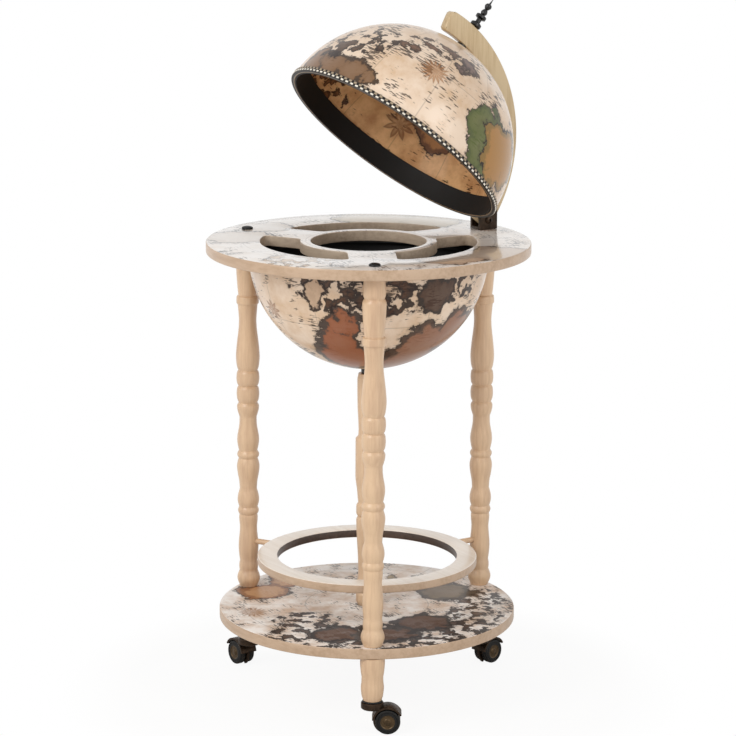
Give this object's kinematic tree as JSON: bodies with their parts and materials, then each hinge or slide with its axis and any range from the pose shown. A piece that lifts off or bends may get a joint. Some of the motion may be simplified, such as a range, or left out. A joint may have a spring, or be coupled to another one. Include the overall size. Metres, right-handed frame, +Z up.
{
  "type": "floor globe bar",
  "caption": "Round drinks table on turned legs with a half globe below, a hinged half globe lid, lower shelf, bottle ring and casters.",
  "frame": {"origin": "on the floor, under the middle of the bounding box as modelled with the lid open", "axes": "+Z up, +Y towards the hinge and the rear leg, +X to the right seen from the front"},
  "size_m": [0.45, 0.4681, 0.9708],
  "materials": {
    "turned_wood": "clear lacquered, satin",
    "printed_board": "printed paper under gloss lacquer",
    "printed_globe": "printed map under gloss lacquer",
    "black_wood": "painted black",
    "black_band": "satin black",
    "checked_band": "light and dark checks",
    "dark_bronze": "dark bronze, satin",
    "black_metal": "black, satin",
    "black_plastic": "moulded, satin",
    "wheel_plastic": "black tread with a bronze coloured face",
    "steel": "zinc plated"
  },
  "bodies": {
    "stand": {"table_top": "printed_board", "shelf": "printed_board", "bottle_ring": "printed_board", "lower_globe": "printed_globe", "lower_globe_hoop": "black_wood", "hoop_screw_front": "steel", "hoop_screw_left": "steel", "hoop_screw_hinge": "steel", "column_bolt": "steel", "column_screw": "steel", "leg_screw_front": "steel", "leg_screw_left": "steel", "leg_screw_hinge": "steel", "stud_front": "steel", "stud_left": "steel", "stud_hinge": "steel", "friction_washer_right": "steel", "friction_washer_left": "steel", "column": "turned_wood", "leg_front": "turned_wood", "leg_left": "turned_wood", "leg_hinge": "turned_wood", "foot_front": "turned_wood", "foot_left": "turned_wood", "foot_hinge": "turned_wood", "ring_peg_front": "turned_wood", "ring_peg_left": "turned_wood", "ring_peg_hinge": "turned_wood", "column_collar": "black_metal", "caster_stem_front": "black_metal", "caster_stem_left": "black_metal", "caster_stem_hinge": "black_metal", "cap_front": "black_plastic", "cap_left": "black_plastic", "hinge_bracket": "dark_bronze", "bracket_screw": "dark_bronze", "hinge_bolt": "dark_bronze", "hinge_nut": "dark_bronze"},
    "lid": {"dome": "printed_globe", "dome_trim": "checked_band", "dome_lining": "black_band", "meridian_arc": "turned_wood", "pole_spacer": "black_metal", "rim_spacer": "black_metal", "rim_screw": "steel", "finial": "black_metal", "pole_nut": "steel"},
    "caster_front": {"caster_body_front": "dark_bronze", "caster_axle_front": "steel"},
    "near_wheel_front": {"wheel_near_front": "wheel_plastic"},
    "far_wheel_front": {"wheel_far_front": "wheel_plastic"},
    "caster_left": {"caster_body_left": "dark_bronze", "caster_axle_left": "steel"},
    "near_wheel_left": {"wheel_near_left": "wheel_plastic"},
    "far_wheel_left": {"wheel_far_left": "wheel_plastic"},
    "caster_hinge": {"caster_body_hinge": "dark_bronze", "caster_axle_hinge": "steel"},
    "near_wheel_hinge": {"wheel_near_hinge": "wheel_plastic"},
    "far_wheel_hinge": {"wheel_far_hinge": "wheel_plastic"}
  },
  "joints": [
    {"name": "lid_hinge", "type": "hinge", "parent": "stand", "child": "lid", "pos_m": [0, 0.18393, 0.6611], "axis": [1, 0, 0], "range_deg": [0, 40.7]},
    {"name": "caster_front_swivel", "type": "hinge", "parent": "stand", "child": "caster_front", "pos_m": [0.16758, -0.10582, 0.039], "axis": [0, 0, 1], "continuous": true},
    {"name": "near_wheel_front_spin", "type": "hinge", "parent": "caster_front", "child": "near_wheel_front", "pos_m": [0.18508, -0.09205, 0.0175], "axis": [-0.8443, 0.5358, 0], "continuous": true},
    {"name": "far_wheel_front_spin", "type": "hinge", "parent": "caster_front", "child": "far_wheel_front", "pos_m": [0.17258, -0.08412, 0.0175], "axis": [-0.8443, 0.5358, 0], "continuous": true},
    {"name": "caster_left_swivel", "type": "hinge", "parent": "stand", "child": "caster_left", "pos_m": [-0.16758, -0.10582, 0.039], "axis": [0, 0, 1], "continuous": true},
    {"name": "near_wheel_left_spin", "type": "hinge", "parent": "caster_left", "child": "near_wheel_left", "pos_m": [-0.189, -0.09975, 0.0175], "axis": [0.0628, -0.998, 0], "continuous": true},
    {"name": "far_wheel_left_spin", "type": "hinge", "parent": "caster_left", "child": "far_wheel_left", "pos_m": [-0.18807, -0.11452, 0.0175], "axis": [0.0628, -0.998, 0], "continuous": true},
    {"name": "caster_hinge_swivel", "type": "hinge", "parent": "stand", "child": "caster_hinge", "pos_m": [0, 0.18443, 0.039], "axis": [0, 0, 1], "continuous": true},
    {"name": "near_wheel_hinge_spin", "type": "hinge", "parent": "caster_hinge", "child": "near_wheel_hinge", "pos_m": [0.00264, 0.20654, 0.0175], "axis": [-0.9759, -0.2181, 0], "continuous": true},
    {"name": "far_wheel_hinge_spin", "type": "hinge", "parent": "caster_hinge", "child": "far_wheel_hinge", "pos_m": [-0.0118, 0.20331, 0.0175], "axis": [-0.9759, -0.2181, 0], "continuous": true}
  ]
}
